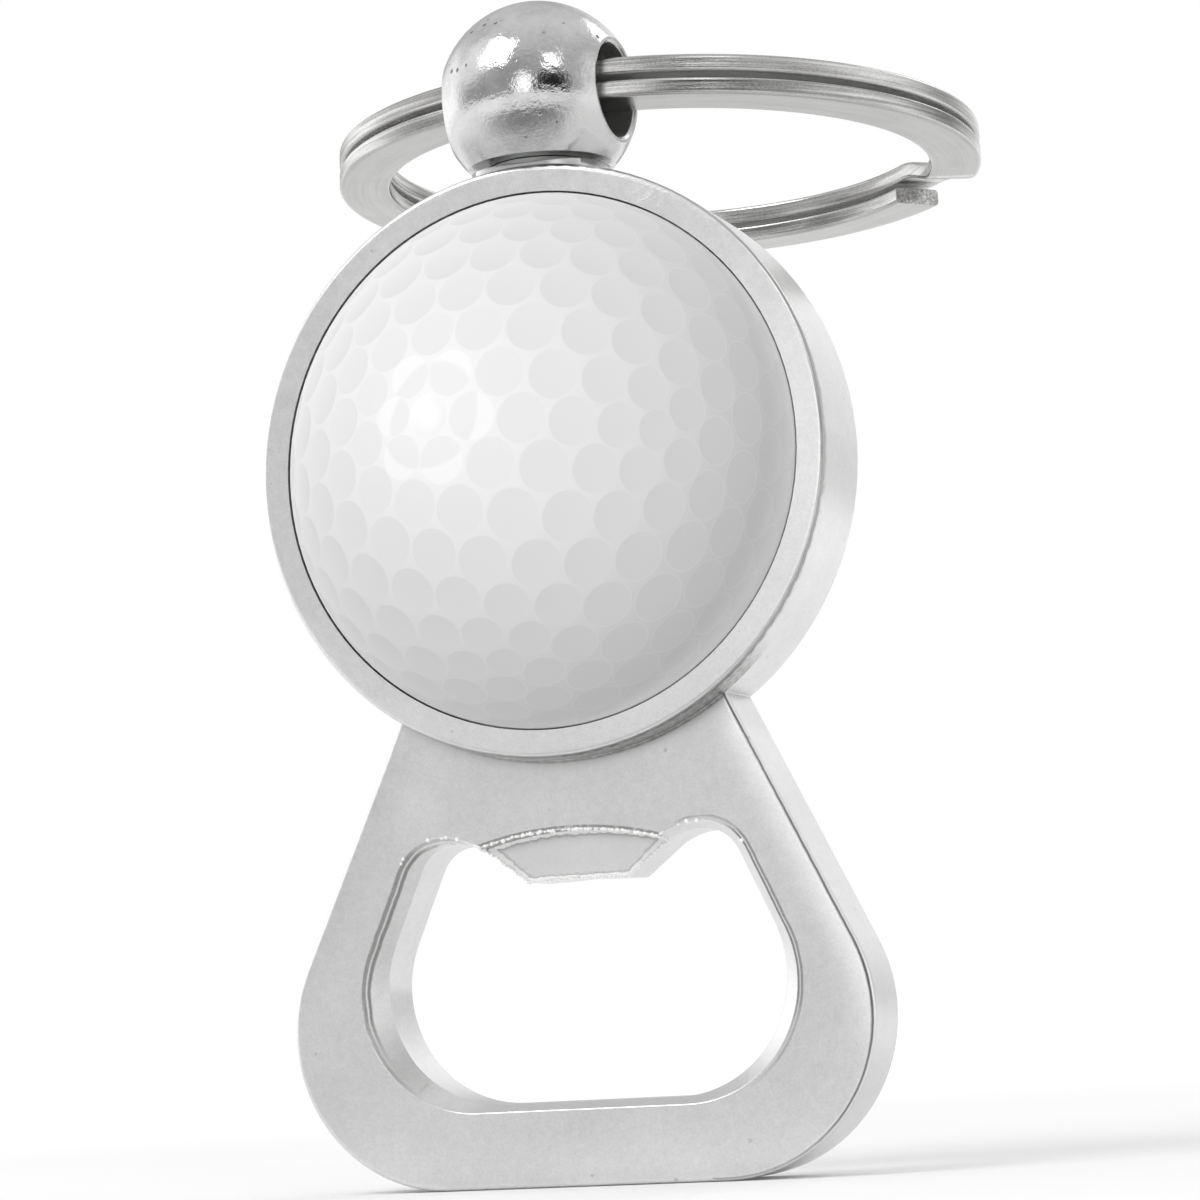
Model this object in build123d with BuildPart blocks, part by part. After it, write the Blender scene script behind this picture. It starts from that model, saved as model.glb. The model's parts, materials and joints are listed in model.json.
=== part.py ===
from build123d import *
import os
from math import cos, sin, tan, radians

# Keychain bottle opener, in millimetres. +Z runs up the long axis, -Y is the front, X is the width.
# The origin is on the flat bottom edge, straight below the axis on which the key-ring ball turns.

# ---- driving dimensions -------------------------------------------------------------------
disc_radius = 12.25           # round picture, 24.5 mm across
rim_width = 1.35              # raised rim around the picture
head_height = 32.75           # centre of the head above the bottom edge
head_thickness = 5.6
opener_thickness = 4.0        # the opener's back is flush with the head's back
edge_radius = 0.25            # rounded outer edges of the casting

outer_corner_radius = 7.25
outer_half_width = 13.9
outer_flank_angle = 25.4      # degrees from vertical

mouth_half_width = 10.45      # widest half width of the opening, at its front edge
mouth_bottom = 3.45
mouth_top = 16.0              # top of the two lobes beside the lip
mouth_flank_angle = 24.0      # degrees from vertical
mouth_corner_radius = 5.4
lobe_radius = 2.3
lobe_turn = 42.0              # degrees, where a lobe runs into the lip's side
bevel_side = 0.85             # sloping front band of the opening: across, at the ends, and deep
bevel_end = 0.3
bevel_depth = 1.3
bevel_lobe_radius = 1.8       # the lobes are tighter behind the bevel

lip_bottom = 13.75
lip_half_width = 2.4
lip_root_half_width = 3.8
lip_edge_radius = 36.0        # the lip's edge is a little hollow in the middle
lip_recess = 1.3              # the lip lies this far behind the opener's face
step_top = 16.0               # shallow arch of the step above the lip
step_half_width = 4.35
step_rise = 0.6

recess_depth = 0.95           # round recess for the picture
disc_gap = 0.07               # seam around the picture
disc_thickness = 0.75
disc_edge_radius = 0.06
adhesive_radius = 11.8
adhesive_thickness = 0.15

seat_rise = 0.2               # flat seat for the ball above the top of the head
seat_length = 6.4
seat_width = 4.9
seat_corner_radius = 2.0
washer_radius = 2.45
washer_thickness = 0.2
running_gap = 0.03

ball_radius = 4.65
ball_foot = 3.15              # the flat foot lies this far below the ball's centre
bore_radius = 2.2             # cross bore for the split ring
bore_face = 3.95              # the flat around each end of the bore, from the ball's centre
bore_chamfer = 0.12
rivet_radius = 0.8
rivet_head_radius = 1.4
rivet_head_thickness = 0.4
rivet_length = 4.5            # from its tip to the underside of its head
rivet_floor = 0.5             # metal of the ball under the rivet's head

ring_outer_radius = 16.0      # 32 mm split ring
wire_width = 2.5
wire_thickness = 0.84
wire_corner_radius = 0.18
coil_gap = 0.08
ring_swivel = 4.0             # degrees that the bore is turned about the ball's upright axis
ring_droop = 2.0              # degrees that the ring lies below level
jog_angle = 36.0              # middle of the crossover, in degrees from the bore's right end
jog_span = 20.0
cut_gap = 2.5                 # degrees between a cut end and the crossover

# ---- derived sizes ------------------------------------------------------------------------
recess_radius = disc_radius + disc_gap
head_radius = disc_radius + rim_width
back = head_thickness / 2
head_front = -head_thickness / 2
opener_front = back - opener_thickness
head_top = head_height + head_radius
seat_top = head_top + seat_rise
ball_foot_height = seat_top + washer_thickness + running_gap
ball_height = ball_foot_height + ball_foot
rivet_ledge = ball_foot_height + rivet_floor

# the opener's straight flanks, run down to the bottom edge and up into the head
outer_slope = radians(outer_flank_angle)
flank_foot = (
    outer_half_width
    - outer_corner_radius
    + outer_corner_radius / cos(outer_slope)
    + outer_corner_radius * tan(outer_slope)
)
neck_height = head_height - 8.0
neck_half_width = flank_foot - neck_height * tan(outer_slope)

os.makedirs("parts", exist_ok=True)

# upright sketch plane facing the front: its y runs up and its normal points forward
face = Plane(origin=(0, 0, 0), x_dir=(1, 0, 0), z_dir=(0, -1, 0))


def mouth_outline(side=0.0, end=0.0, lobe=lobe_radius):
    """Right half of the opening's outline, drawn smaller by side across and by end up and down."""
    slope = radians(mouth_flank_angle)
    turn = radians(lobe_turn)
    corner = mouth_corner_radius
    bottom = mouth_bottom + end
    top = mouth_top - end
    corner_x = mouth_half_width - side - corner
    flank_low = (corner_x + corner * cos(slope), bottom + corner * (1 + sin(slope)))
    flank_top = top - lobe * (1 - sin(slope))
    flank_high = (flank_low[0] - (flank_top - flank_low[1]) * tan(slope), flank_top)
    lobe_x = flank_high[0] - lobe * cos(slope)
    inner = (lobe_x - lip_root_half_width) / sin(turn)
    lip_root = (lip_root_half_width, top - inner * (1 - cos(turn)))
    lip_hollow = lip_half_width**2 / (2 * lip_edge_radius)
    Line((0, bottom), (corner_x, bottom))
    RadiusArc((corner_x, bottom), flank_low, -corner)
    Line(flank_low, flank_high)
    RadiusArc(flank_high, (lobe_x, top), -lobe)
    RadiusArc((lobe_x, top), lip_root, -inner)
    Line(lip_root, (lip_half_width, lip_bottom))
    RadiusArc((lip_half_width, lip_bottom), (0, lip_bottom + lip_hollow), lip_edge_radius)


# ---- opener body: head, rim, opener frame and lip in one casting ----------------------------
with BuildPart() as opener_body:
    with BuildSketch(face.offset(-back)):
        with BuildLine():
            Polyline(
                (-neck_half_width, neck_height),
                (-flank_foot, 0),
                (flank_foot, 0),
                (neck_half_width, neck_height),
                close=True,
            )
        make_face()
        fillet(vertices().group_by(Axis.Y)[0], outer_corner_radius)
    extrude(amount=opener_thickness)
    with BuildSketch(face.offset(-back)):
        with Locations((0, head_height)):
            Circle(head_radius)
    extrude(amount=head_thickness)

    # rounded outer edges, front and back
    level_edges = edges().filter_by(lambda e: e.bounding_box().size.Y < 0.01)
    opener_front_edges = level_edges.filter_by(
        lambda e: abs(e.center().Y - opener_front) < 0.01 and e.center().Z < head_height - head_radius
    )
    fillet(level_edges.group_by(Axis.Y)[0] + level_edges.group_by(Axis.Y)[-1], edge_radius)
    fillet(opener_front_edges, edge_radius)

    # flat seat for the ball on top of the head
    with BuildSketch(Plane.XY.offset(head_top - 1)):
        RectangleRounded(seat_length, seat_width, seat_corner_radius)
    extrude(amount=1 + seat_rise)

    # round recess for the picture
    with BuildSketch(face.offset(-head_front)):
        with Locations((0, head_height)):
            Circle(recess_radius)
    extrude(amount=-recess_depth, mode=Mode.SUBTRACT)

    # opening: a sloping front band, then a straight wall to the back
    with BuildSketch(face.offset(-opener_front)):
        with BuildLine():
            mouth_outline()
            mirror(about=Plane.YZ)
        make_face()
    with BuildSketch(face.offset(-opener_front - bevel_depth)):
        with BuildLine():
            mouth_outline(bevel_side, bevel_end, bevel_lobe_radius)
            mirror(about=Plane.YZ)
        make_face()
    loft(mode=Mode.SUBTRACT)
    with BuildSketch(face.offset(-opener_front - bevel_depth)):
        with BuildLine():
            mouth_outline(bevel_side, bevel_end, bevel_lobe_radius)
            mirror(about=Plane.YZ)
        make_face()
    extrude(amount=-opener_thickness, mode=Mode.SUBTRACT)

    # step in front of the lip, under a shallow arch
    with BuildSketch(face.offset(-opener_front)):
        with BuildLine():
            Polyline(
                (-step_half_width, step_top - step_rise),
                (-step_half_width, lip_bottom - 1),
                (step_half_width, lip_bottom - 1),
                (step_half_width, step_top - step_rise),
            )
            ThreePointArc(
                (step_half_width, step_top - step_rise),
                (0, step_top),
                (-step_half_width, step_top - step_rise),
            )
        make_face()
    extrude(amount=-lip_recess, mode=Mode.SUBTRACT)

    # hole that the rivet is pressed into
    with Locations((0, 0, seat_top)):
        Hole(rivet_radius, depth=rivet_length - rivet_floor - washer_thickness - running_gap)

opener_body.part.label = "opener_body"
export_step(opener_body.part, "parts/opener_body.step")

# ---- printed disc and the adhesive pad behind it --------------------------------------------
with BuildPart() as adhesive_pad:
    with BuildSketch(face.offset(-head_front - recess_depth)):
        with Locations((0, head_height)):
            Circle(adhesive_radius)
    extrude(amount=adhesive_thickness)

adhesive_pad.part.label = "adhesive_pad"
export_step(adhesive_pad.part, "parts/adhesive_pad.step")

with BuildPart() as printed_disc:
    with BuildSketch(face.offset(-head_front - recess_depth + adhesive_thickness)):
        with Locations((0, head_height)):
            Circle(disc_radius)
    extrude(amount=disc_thickness)
    fillet(printed_disc.edges().group_by(Axis.Y)[0], disc_edge_radius)

printed_disc.part.label = "printed_disc"
export_step(printed_disc.part, "parts/printed_disc.step")

# ---- washer that the ball turns on ----------------------------------------------------------
with BuildPart() as swivel_washer:
    with BuildSketch(Plane.XY.offset(seat_top)):
        Circle(washer_radius)
        Circle(rivet_radius + running_gap, mode=Mode.SUBTRACT)
    extrude(amount=washer_thickness)

swivel_washer.part.label = "swivel_washer"
export_step(swivel_washer.part, "parts/swivel_washer.step")

# ---- swivel ball: cut-off sphere with a cross bore and a seat for the rivet's head ----------
bore_plane = Plane(
    origin=(0, 0, ball_height),
    x_dir=(sin(radians(ring_swivel)), cos(radians(ring_swivel)), 0),
    z_dir=(cos(radians(ring_swivel)), -sin(radians(ring_swivel)), 0),
)

with BuildPart() as swivel_ball:
    with Locations((0, 0, ball_height)):
        Sphere(ball_radius)
    split(bisect_by=Plane.XY.offset(ball_foot_height), keep=Keep.TOP)
    bore_ends = (bore_plane, bore_plane.rotated((0, 180, 0)))
    for end in bore_ends:
        split(bisect_by=end.offset(bore_face), keep=Keep.BOTTOM)
    with BuildSketch(bore_plane.offset(-ball_radius)):
        Circle(bore_radius)
    extrude(amount=2 * ball_radius, mode=Mode.SUBTRACT)
    for end in bore_ends:
        with BuildSketch(end.offset(bore_face)):
            Circle(bore_radius + bore_chamfer)
        extrude(amount=-2 * bore_chamfer, taper=45, mode=Mode.SUBTRACT)
    with BuildSketch(Plane.XY.offset(ball_foot_height)):
        Circle(rivet_radius + 2 * running_gap)
    extrude(amount=ball_foot, mode=Mode.SUBTRACT)
    with BuildSketch(Plane.XY.offset(rivet_ledge)):
        Circle(rivet_head_radius + 2 * running_gap)
    extrude(amount=bore_radius, mode=Mode.SUBTRACT)

swivel_ball.part.label = "swivel_ball"
export_step(swivel_ball.part, "parts/swivel_ball.step")

# ---- swivel rivet: pressed into the head, its flat head holds the ball down -----------------
with BuildPart() as swivel_rivet:
    with BuildSketch(Plane.XY.offset(rivet_ledge + running_gap)):
        Circle(rivet_head_radius)
    extrude(amount=rivet_head_thickness)
    fillet(swivel_rivet.edges().group_by(Axis.Z)[-1], rivet_head_thickness / 2)
    with BuildSketch(Plane.XY.offset(rivet_ledge + running_gap)):
        Circle(rivet_radius)
    extrude(amount=-rivet_length)

swivel_rivet.part.label = "swivel_rivet"
export_step(swivel_rivet.part, "parts/swivel_rivet.step")

# ---- split ring: two turns of flat wire joined by a crossover -------------------------------
pitch = wire_thickness + coil_gap
wire_radius = ring_outer_radius - wire_width / 2
bore_bow = bore_face**2 / (4 * wire_radius)   # keeps the bent wire in the middle of the bore
droop = radians(ring_droop)
swivel = radians(ring_swivel)
ring_reach = wire_radius - bore_bow
ring_centre = Vector(
    ring_reach * cos(droop) * sin(swivel),
    ring_reach * cos(droop) * cos(swivel),
    ball_height - ring_reach * sin(droop),
)
ring_plane = Plane(
    origin=ring_centre,
    x_dir=(cos(swivel), -sin(swivel), 0),
    z_dir=(sin(droop) * sin(swivel), sin(droop) * cos(swivel), cos(droop)),
)


def wire_section(angle, height):
    """Sketch plane across the wire, at an angle round the ring and a height above its middle."""
    turned = ring_plane.rotated((0, 0, angle))
    return Plane(
        origin=turned.from_local_coords((wire_radius, 0, height)),
        x_dir=turned.x_dir,
        z_dir=-turned.y_dir,
    )


def wire_profile():
    RectangleRounded(wire_width, wire_thickness, wire_corner_radius)


ring_axis = Axis(ring_centre, ring_plane.z_dir)
jog_start = jog_angle - jog_span / 2
jog_end = jog_angle + jog_span / 2
coil_arc = 360 - jog_span - cut_gap

with BuildPart() as split_ring:
    # lower coil, from the crossover's foot round to its cut end
    with BuildSketch(wire_section(jog_start, -pitch / 2)):
        wire_profile()
    revolve(axis=ring_axis, revolution_arc=-coil_arc)
    # upper coil, from the crossover's top round to its cut end
    with BuildSketch(wire_section(jog_end, pitch / 2)):
        wire_profile()
    revolve(axis=ring_axis, revolution_arc=coil_arc)
    # crossover between the coils
    for step in range(5):
        share = step / 4
        rise = pitch * (share * share * (3 - 2 * share) - 0.5)
        with BuildSketch(wire_section(jog_start + share * jog_span, rise)):
            wire_profile()
    loft()

split_ring.part.label = "split_ring"
export_step(split_ring.part, "parts/split_ring.step")
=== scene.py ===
import bpy
import bmesh
import json
import math
import random
from mathutils import Matrix, Vector


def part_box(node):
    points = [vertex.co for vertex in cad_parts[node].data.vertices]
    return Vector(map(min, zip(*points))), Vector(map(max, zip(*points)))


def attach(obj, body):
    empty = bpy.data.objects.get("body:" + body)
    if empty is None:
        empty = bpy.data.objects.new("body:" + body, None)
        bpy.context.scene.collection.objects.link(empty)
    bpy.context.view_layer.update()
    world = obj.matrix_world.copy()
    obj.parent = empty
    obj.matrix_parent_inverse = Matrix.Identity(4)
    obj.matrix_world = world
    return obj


# Keychain bottle opener: looks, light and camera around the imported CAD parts. Metres, +Z up, -Y front.
# Places and sizes inside the materials are in millimetres, in the same frame.

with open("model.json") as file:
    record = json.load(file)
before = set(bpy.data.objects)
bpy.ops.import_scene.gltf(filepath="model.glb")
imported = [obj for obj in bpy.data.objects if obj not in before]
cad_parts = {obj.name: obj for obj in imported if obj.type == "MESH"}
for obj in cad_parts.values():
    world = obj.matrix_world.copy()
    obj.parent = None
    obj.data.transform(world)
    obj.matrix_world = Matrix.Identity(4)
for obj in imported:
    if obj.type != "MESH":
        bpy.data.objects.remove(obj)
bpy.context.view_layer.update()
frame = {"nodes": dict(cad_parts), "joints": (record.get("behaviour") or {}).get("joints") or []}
nodes = frame["nodes"]
MM = 0.001
PER_MM = 1000.0


def direction(azimuth, elevation):
    """Unit vector; azimuth 0 is the front (-Y), 90 the right (+X)."""
    a = math.radians(azimuth)
    e = math.radians(elevation)
    return Vector((math.sin(a) * math.cos(e), -math.cos(a) * math.cos(e), math.sin(e)))


def add_object(name, data):
    """A new object in the scene."""
    made = bpy.data.objects.new(name, data)
    bpy.context.scene.collection.objects.link(made)
    return made


# ---- camera ---------------------------------------------------------------------------------
AZIMUTH, ELEVATION, ROLL = 19.4, -6.5, 3.0     # degrees: seen from front right, a little below
DISTANCE = 0.170
AIM = Vector((1.73 * MM, 0.0, 26.4 * MM))
FOCAL, SENSOR_WIDTH = 111.63, 36.0             # millimetres
CLIP_START, CLIP_END = 0.005, 50.0

camera_data = bpy.data.cameras.new("camera")
camera_data.lens = FOCAL
camera_data.sensor_width = SENSOR_WIDTH
camera_data.clip_start = CLIP_START
camera_data.clip_end = CLIP_END
camera = add_object("camera", camera_data)
to_camera = direction(AZIMUTH, ELEVATION)
look = (-to_camera).to_track_quat("-Z", "Y").to_matrix().to_4x4()
rolled = Matrix.Rotation(-math.radians(ROLL), 4, "Z")
camera.matrix_world = Matrix.Translation(AIM + to_camera * DISTANCE) @ look @ rolled
bpy.context.scene.camera = camera


# ---- node graphs ----------------------------------------------------------------------------
class Graph:
    """A small helper around one node tree. Its values are sockets or plain numbers."""

    MIX_SOCKETS = {"FLOAT": (2, 3, 0), "VECTOR": (4, 5, 1), "RGBA": (6, 7, 2)}

    def __init__(self, tree):
        self.tree = tree

    def node(self, kind, inputs=None, **settings):
        made = self.tree.nodes.new("ShaderNode" + kind)
        for name, value in settings.items():
            setattr(made, name, value)
        for name, value in (inputs or {}).items():
            self.put(made.inputs[name], value)
        return made

    def put(self, socket, value):
        """Links or sets a socket; None leaves it as it is."""
        if isinstance(value, bpy.types.NodeSocket):
            self.tree.links.new(value, socket)
        elif value is not None:
            socket.default_value = value

    def math(self, operation, a, b=None, c=None, clamp=False):
        made = self.node("Math", operation=operation, use_clamp=clamp)
        for socket, value in zip(made.inputs, (a, b, c)):
            self.put(socket, value)
        return made.outputs[0]

    def chain(self, operation, first, *others):
        for other in others:
            first = self.math(operation, first, other)
        return first

    def plus(self, *values):
        return self.chain("ADD", *values)

    def times(self, *values):
        return self.chain("MULTIPLY", *values)

    def most(self, *values):
        return self.chain("MAXIMUM", *values)

    def minus(self, a, b):
        return self.math("SUBTRACT", a, b)

    def times_plus(self, a, b, c):
        """a times b, plus c."""
        return self.math("MULTIPLY_ADD", a, b, c)

    def size(self, value):
        return self.math("ABSOLUTE", value)

    def above(self, value, limit):
        return self.math("GREATER_THAN", value, limit)

    def below(self, value, limit):
        return self.math("LESS_THAN", value, limit)

    def between(self, value, low, high):
        return self.times(self.above(value, low), self.below(value, high))

    def apart(self, mask):
        """1 where the mask is 0, and 0 where it is 1."""
        return self.minus(1.0, mask)

    def hypot(self, a, b):
        return self.math("SQRT", self.times_plus(a, a, self.times(b, b)))

    def ramp(self, value, low, high, out_low=0.0, out_high=1.0, smooth=True):
        """low to high becomes out_low to out_high, and stays at those beyond."""
        inputs = {"Value": value, "From Min": low, "From Max": high, "To Min": out_low, "To Max": out_high}
        kind = "SMOOTHSTEP" if smooth else "LINEAR"
        return self.node("MapRange", inputs, interpolation_type=kind).outputs[0]

    def stripe(self, off, core, reach, strength):
        """strength within core of a line that lies off away, falling to 0 at reach."""
        return self.ramp(self.size(off), core, reach, strength, 0.0)

    def noise(self, at, scale, detail=2.0, roughness=0.5):
        inputs = {"Vector": at, "Scale": scale, "Detail": detail, "Roughness": roughness}
        return self.node("TexNoise", inputs).outputs["Fac"]

    def ragged(self, x, z, scale, amount):
        """The unevenness of a line on the front: noise about 0, amount high in all."""
        return self.times(self.minus(self.noise(self.join(x, 0.0, z), scale, 3.0), 0.5), amount)

    def mix(self, factor, a, b, kind="RGBA"):
        """a where factor is 0 and b where it is 1; both are colours unless kind says otherwise."""
        at_a, at_b, result = self.MIX_SOCKETS[kind]
        return self.node("Mix", {0: factor, at_a: a, at_b: b}, data_type=kind).outputs[result]

    def vector(self, operation, a, b=None, c=None, scale=None):
        made = self.node("VectorMath", operation=operation)
        for socket, value in zip(made.inputs, (a, b, c)):
            self.put(socket, value)
        if scale is not None:
            self.put(made.inputs["Scale"], scale)
        return made.outputs["Value" if operation in ("DOT_PRODUCT", "LENGTH") else "Vector"]

    def dot(self, a, b):
        return self.vector("DOT_PRODUCT", a, b)

    def split(self, vector):
        return self.node("SeparateXYZ", {0: vector}).outputs

    def join(self, x, y, z):
        return self.node("CombineXYZ", {0: x, 1: y, 2: z}).outputs[0]

    def bump(self, height, distance, normal=None):
        inputs = {"Height": height, "Distance": distance, "Strength": 1.0, "Normal": normal}
        return self.node("Bump", inputs).outputs["Normal"]


def rgb(red, green, blue):
    return (red, green, blue, 1.0)


def grey(level, blue=None):
    """A grey, or with a lower blue a slightly warm one."""
    return rgb(level, level, level if blue is None else blue)


WHITE = grey(1.0)


def new_material(name):
    """A material with one Principled shader, its graph and that shader."""
    material = bpy.data.materials.new(name)
    material.use_nodes = True
    return material, Graph(material.node_tree), material.node_tree.nodes["Principled BSDF"]


def put_surface(g, shader, colour, rough, normal=None):
    g.put(shader.inputs["Base Color"], colour)
    g.put(shader.inputs["Roughness"], rough)
    g.put(shader.inputs["Normal"], normal)


def object_mm(g):
    """The surface point in millimetres, in the shared frame at rest."""
    return g.vector("SCALE", g.node("TexCoord").outputs["Object"], scale=PER_MM)


def middle_mm(node):
    """The middle of a CAD node's box at rest, in millimetres."""
    low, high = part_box(node)
    return (Vector(low) + Vector(high)) / 2 * PER_MM


TURN_START, TURN_FULL = 0.01, 0.12      # how far an edge turns the surface: 1 minus a cosine
OPEN_SKY, CLOSED_SKY = 0.80, 0.42       # ambient occlusion on an open face and in a corner
EDGE_SAMPLES = 6


def rounded_edges(g, radius):
    """A softened normal over sharp edges, and how far the surface is turned there."""
    soft = g.node("Bevel", {"Radius": radius * MM}, samples=EDGE_SAMPLES).outputs[0]
    flat = g.node("NewGeometry").outputs["Normal"]
    return soft, g.ramp(g.minus(1.0, g.dot(soft, flat)), TURN_START, TURN_FULL)


def recess(g, reach):
    """1 in tight inside corners, where ambient occlusion finds little open sky, and 0 on open faces."""
    node = g.node("AmbientOcclusion", {"Distance": reach * MM}, samples=EDGE_SAMPLES, only_local=True)
    return g.ramp(node.outputs["AO"], CLOSED_SKY, OPEN_SKY, 1.0, 0.0)


# ---- plated casting: satin nickel over a die casting ------------------------------------------
# the part's outline, in millimetres and degrees
HEAD_AT, HEAD_RADIUS, HEAD_HALF = 32.75, 13.6, 2.8      # middle's height, radius, half thickness
RIM_RADIUS, BEZEL_WIDTH, NECK_HALF = 0.25, 1.35, 7.9
CORNER_AT, CORNER_RADIUS, FLANK_LEAN = (6.65, 7.25), 7.25, 25.4
MOUTH_CORNER, MOUTH_CORNER_RADIUS, MOUTH_LEAN = (5.05, 8.85), 5.4, 24.0
LOBE_AT, LOBE_RADIUS = (6.284, 13.70), 2.3
ARCH_MIDDLE, ARCH_RADIUS = -0.07, 16.07                 # the arch above the lip
LIP_CORNER, LIP_SIDE = (2.40, 13.75), (0.679, -0.734)   # its lower corner, and across its slope
LIP_HALF, LIP_LOW = 4.4, 13.6
BETWEEN_FACES = -1.9                                    # y between the bezel's and the opener's face
FRONT_FACE, LIP_FACE = -1.2, 0.1                        # y of the opener's face and of the lip's

# noise in the plating: features per millimetre, detail, roughness
BROAD, MOTTLE, GRAIN = (0.28, 3.0, 0.55), (2.6, 3.0, 0.6), (9.0, 3.0, 0.70)
NICKEL_DARK, NICKEL_LIGHT = grey(0.68), grey(0.84, 0.837)
# the last of these greys is painted shade for tight inside corners
SCRATCH, PIT, CORNER_SHADE = grey(0.90), grey(0.42, 0.41), grey(0.36, 0.355)
# edge greys: paler as wear and painted highlight, darker as painted shade where edges face right
WORN_EDGE_HIGHLIGHT, SHADED_EDGE = grey(0.92, 0.915), grey(0.30, 0.295)
# painted shade for the dark lines along the bezel's and the opener's right-hand edges
BEZEL_EDGE_SHADE, OUTLINE_EDGE_SHADE = grey(0.33, 0.325), grey(0.14, 0.138)
# greys for the dark lines and painted shade round the opening, by the lip and under the bezel
LINE_AND_SHADE_DARK, LINE_AND_SHADE_LIGHT = grey(0.10, 0.098), grey(0.38, 0.375)
# the lip's face, and the burrs' white, a painted glint
LIP_BRIGHT, BURR_GLINT_WHITE = grey(0.95, 0.945), grey(0.96, 0.955)
TONE_RANGE = (0.34, 0.66)
SKIN_RELIEF = 0.0022
# how far the painted corner shade reaches, and the radius of the edge rounding
CORNER_SHADE_REACH, EDGE_ROUND_RADIUS = 1.1, 0.10
BAND_DEPTH, BAND_TOP = (FRONT_FACE + 0.08, LIP_FACE - 0.12), 12.0      # the opening's sloping band


def round_reach(g, x, z, start, lean, end):
    """Distance from a line that leaves start leaning by lean, the same on the left and the right."""
    lean = math.radians(lean)
    from_x = g.minus(g.size(x), start[0])
    from_z = g.minus(z, start[1])
    across = g.times_plus(from_z, math.sin(lean), g.times(from_x, math.cos(lean)))
    along = g.minus(g.times(from_z, math.cos(lean)), g.times(from_x, math.sin(lean)))
    return g.hypot(across, g.math(end, along, 0.0))


def outline_reach(g, x, z):
    """Millimetres from the line inside the opener that its outer corners and flanks run round."""
    return round_reach(g, x, z, CORNER_AT, FLANK_LEAN, "MINIMUM")


def mouth_reach(g, x, z):
    """Millimetres outside the opening's front outline, along its corners, flanks and lobes."""
    corner = g.minus(round_reach(g, x, z, MOUTH_CORNER, MOUTH_LEAN, "MINIMUM"), MOUTH_CORNER_RADIUS)
    lobe = g.minus(round_reach(g, x, z, LOBE_AT, MOUTH_LEAN, "MAXIMUM"), LOBE_RADIUS)
    return g.most(corner, lobe)


def from_head(g, x, z):
    """Height over the head's middle, and distance from it."""
    up = g.minus(z, HEAD_AT)
    return up, g.hypot(x, up)


CROWN_WIDTH, CROWN_FALL, CROWN_HEIGHTS = 1.7, 0.042, (2.0, 8.0)
BEZEL_FALL, BEZEL_SHARE, BEZEL_ACROSS = 0.068, (0.50, 1.0), 8.0        # more at the lower right
LOWER_THAN_RIGHT = -0.5                                 # how much height counts against width there
PAST_HEAD = (HEAD_RADIUS + 0.1, HEAD_RADIUS + 2.0)


def polished_crown(g, x, y, z):
    """Height in millimetres of the slight fall that polishing leaves towards the outer edges."""
    inset = g.most(g.minus(outline_reach(g, x, z), CORNER_RADIUS - CROWN_WIDTH), 0.0)
    opener = g.times(inset, inset, g.ramp(z, *CROWN_HEIGHTS, 0.0, -CROWN_FALL))
    up, radius = from_head(g, x, z)
    lower_right = g.ramp(g.times_plus(up, LOWER_THAN_RIGHT, x), -BEZEL_ACROSS, BEZEL_ACROSS, *BEZEL_SHARE)
    bezel = g.times(g.minus(radius, HEAD_RADIUS - BEZEL_WIDTH), -BEZEL_FALL, lower_right)
    on_opener = g.times(g.above(y, BETWEEN_FACES), g.ramp(radius, *PAST_HEAD))
    return g.plus(g.times(bezel, g.below(y, BETWEEN_FACES)), g.times(opener, on_opener))


ROUNDING = 0.01                                         # keeps the rim's own radius inside its test
RECESS_EDGE, RECESS_FRONT = HEAD_RADIUS - 0.8, FRONT_FACE - 0.3


def head_normal(g, soft, edge, x, y, z):
    """The rounded rims of the head worked out from the place, so its facets don't show."""
    up, radius = from_head(g, x, z)
    outward = g.minus(radius, HEAD_RADIUS - RIM_RADIUS)
    forward = g.minus(g.size(y), HEAD_HALF - RIM_RADIUS)
    on_rim = g.times(g.above(outward, 0.0), g.above(forward, 0.0), g.below(radius, HEAD_RADIUS + ROUNDING))
    on_neck = g.times(g.below(g.size(x), NECK_HALF), g.below(z, HEAD_AT), g.above(y, 0.0))
    on_rim = g.times(on_rim, g.apart(on_neck))
    share = g.math("DIVIDE", outward, radius)
    turned = g.join(g.times(x, share), g.times(g.math("SIGN", y), forward), g.times(up, share))
    turned = g.node("VectorTransform", {"Vector": g.vector("NORMALIZE", turned)}, vector_type="NORMAL",
                    convert_from="OBJECT", convert_to="WORLD").outputs[0]
    at_recess = g.times(g.below(radius, RECESS_EDGE), g.below(y, RECESS_FRONT))
    soft = g.mix(on_rim, soft, turned, "VECTOR")
    soft = g.mix(at_recess, soft, g.node("NewGeometry").outputs["Normal"], "VECTOR")
    return soft, g.times(edge, g.apart(at_recess))


# where the painted shade goes on edges that face right
EDGE_SHADE_FACING = (0.10, 0.30)                             # how far to the right an edge faces
EDGE_SHADE_STEP, EDGE_SHADE_SHARES = (BETWEEN_FACES - 0.1, BETWEEN_FACES + 0.4), (1.0, 0.4)
EDGE_SHADE_BACK = 0.8


def right_edge_shade(g, soft, y):
    """How much painted shade the right-hand front edges get, less on the opener than on the bezel."""
    right = g.ramp(g.split(soft)[0], *EDGE_SHADE_FACING)
    return g.times(right, g.ramp(y, *EDGE_SHADE_STEP, *EDGE_SHADE_SHARES), g.below(y, EDGE_SHADE_BACK))


# a line is its half width, where it has faded out, and its strength; a ragged edge is scale and amount
OUTLINE_INSET, OUTLINE_PEN, OUTLINE_RAGGED = 0.13, (0.025, 0.06, 0.85), (1.7, 0.05)
OUTLINE_DEPTH, OUTLINE_SIDE = (BETWEEN_FACES, FRONT_FACE + 0.3), 6.0
OUTLINE_FOOT = (0.6, 3.0, 0.5, 1.0)


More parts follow.
